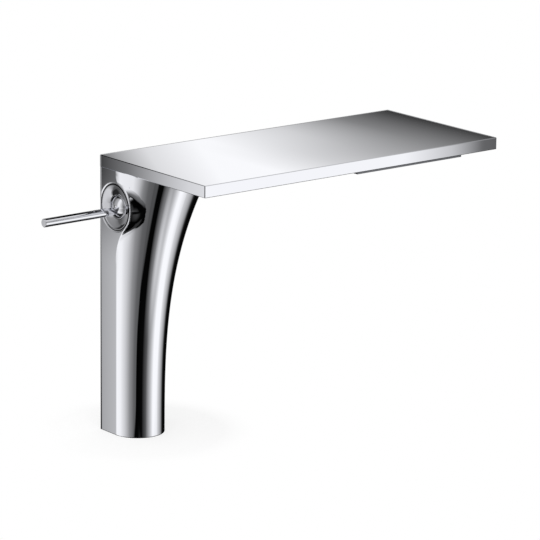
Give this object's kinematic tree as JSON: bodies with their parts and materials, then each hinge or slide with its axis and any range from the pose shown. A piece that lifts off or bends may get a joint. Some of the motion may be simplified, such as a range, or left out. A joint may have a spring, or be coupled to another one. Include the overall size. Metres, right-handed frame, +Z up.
{
  "type": "basin mixer tap",
  "caption": "Chrome deck-mounted basin mixer with a flared D-section column, a wide flat shelf spout with a slot outlet under its front edge, and a pin joystick on the side.",
  "frame": {"origin": "centre of the column's round foot, on the deck it stands on", "axes": "+X along the shelf away from the lever, -Y towards the user, +Z up"},
  "size_m": [0.3755, 0.14, 0.232],
  "materials": {
    "chrome": "mirror polished plating",
    "dark_metal": "satin dark grey",
    "steel": "bright turned and pressed",
    "brass": "machined",
    "copper": "drawn copper tube",
    "plastic": "moulded",
    "ceramic": "lapped",
    "rubber": "matt"
  },
  "bodies": {
    "tap_body": {"column_body": "chrome", "base_plug": "brass", "base_seal": "rubber", "hot_tube": "copper", "cold_tube": "copper", "port_block": "brass", "port_seals": "rubber", "riser_tube": "copper", "riser_rings": "rubber", "cartridge_base": "plastic", "cartridge_housing": "plastic", "fixed_disc": "ceramic", "ball_collar": "chrome", "dished_cap": "chrome", "retaining_nut": "dark_metal", "shelf_cover": "chrome", "shelf_pan": "steel", "water_channel": "plastic", "outlet_frame": "dark_metal", "outlet_seal": "rubber", "stream_former": "plastic", "shelf_screws": "steel", "cover_screws": "steel"},
    "swing_yoke": {"swing_yoke": "steel", "yoke_trunnions": "steel"},
    "lever": {"lever_ball": "chrome", "tilt_pins": "steel", "handle_pin": "chrome", "lever_spindle": "steel"},
    "cross_slide": {"cross_slide": "plastic"},
    "disc": {"disc_carrier": "plastic", "moving_disc": "ceramic"}
  },
  "joints": [
    {"name": "temperature_swing", "type": "hinge", "parent": "tap_body", "child": "swing_yoke", "pos_m": [-0.0103, 0.0014, 0.1918], "axis": [0, 0, 1], "range_deg": [-15, 15]},
    {"name": "flow_tilt", "type": "hinge", "parent": "swing_yoke", "child": "lever", "pos_m": [-0.0103, 0.0014, 0.1918], "axis": [0, 1, 0], "range_deg": [0, 22]},
    {"name": "mixing_slide", "type": "slide", "parent": "tap_body", "child": "cross_slide", "axis": [0, 1, 0], "range_m": [-0.0055, 0.0055]},
    {"name": "disc_slide", "type": "slide", "parent": "cross_slide", "child": "disc", "axis": [0, 0, 1], "range_m": [-0.008, 0]}
  ],
  "couplings": [
    {"joint": "mixing_slide", "follows": "temperature_swing", "m_per_rad": 0.02027},
    {"joint": "disc_slide", "follows": "flow_tilt", "m_per_rad": -0.02047}
  ]
}
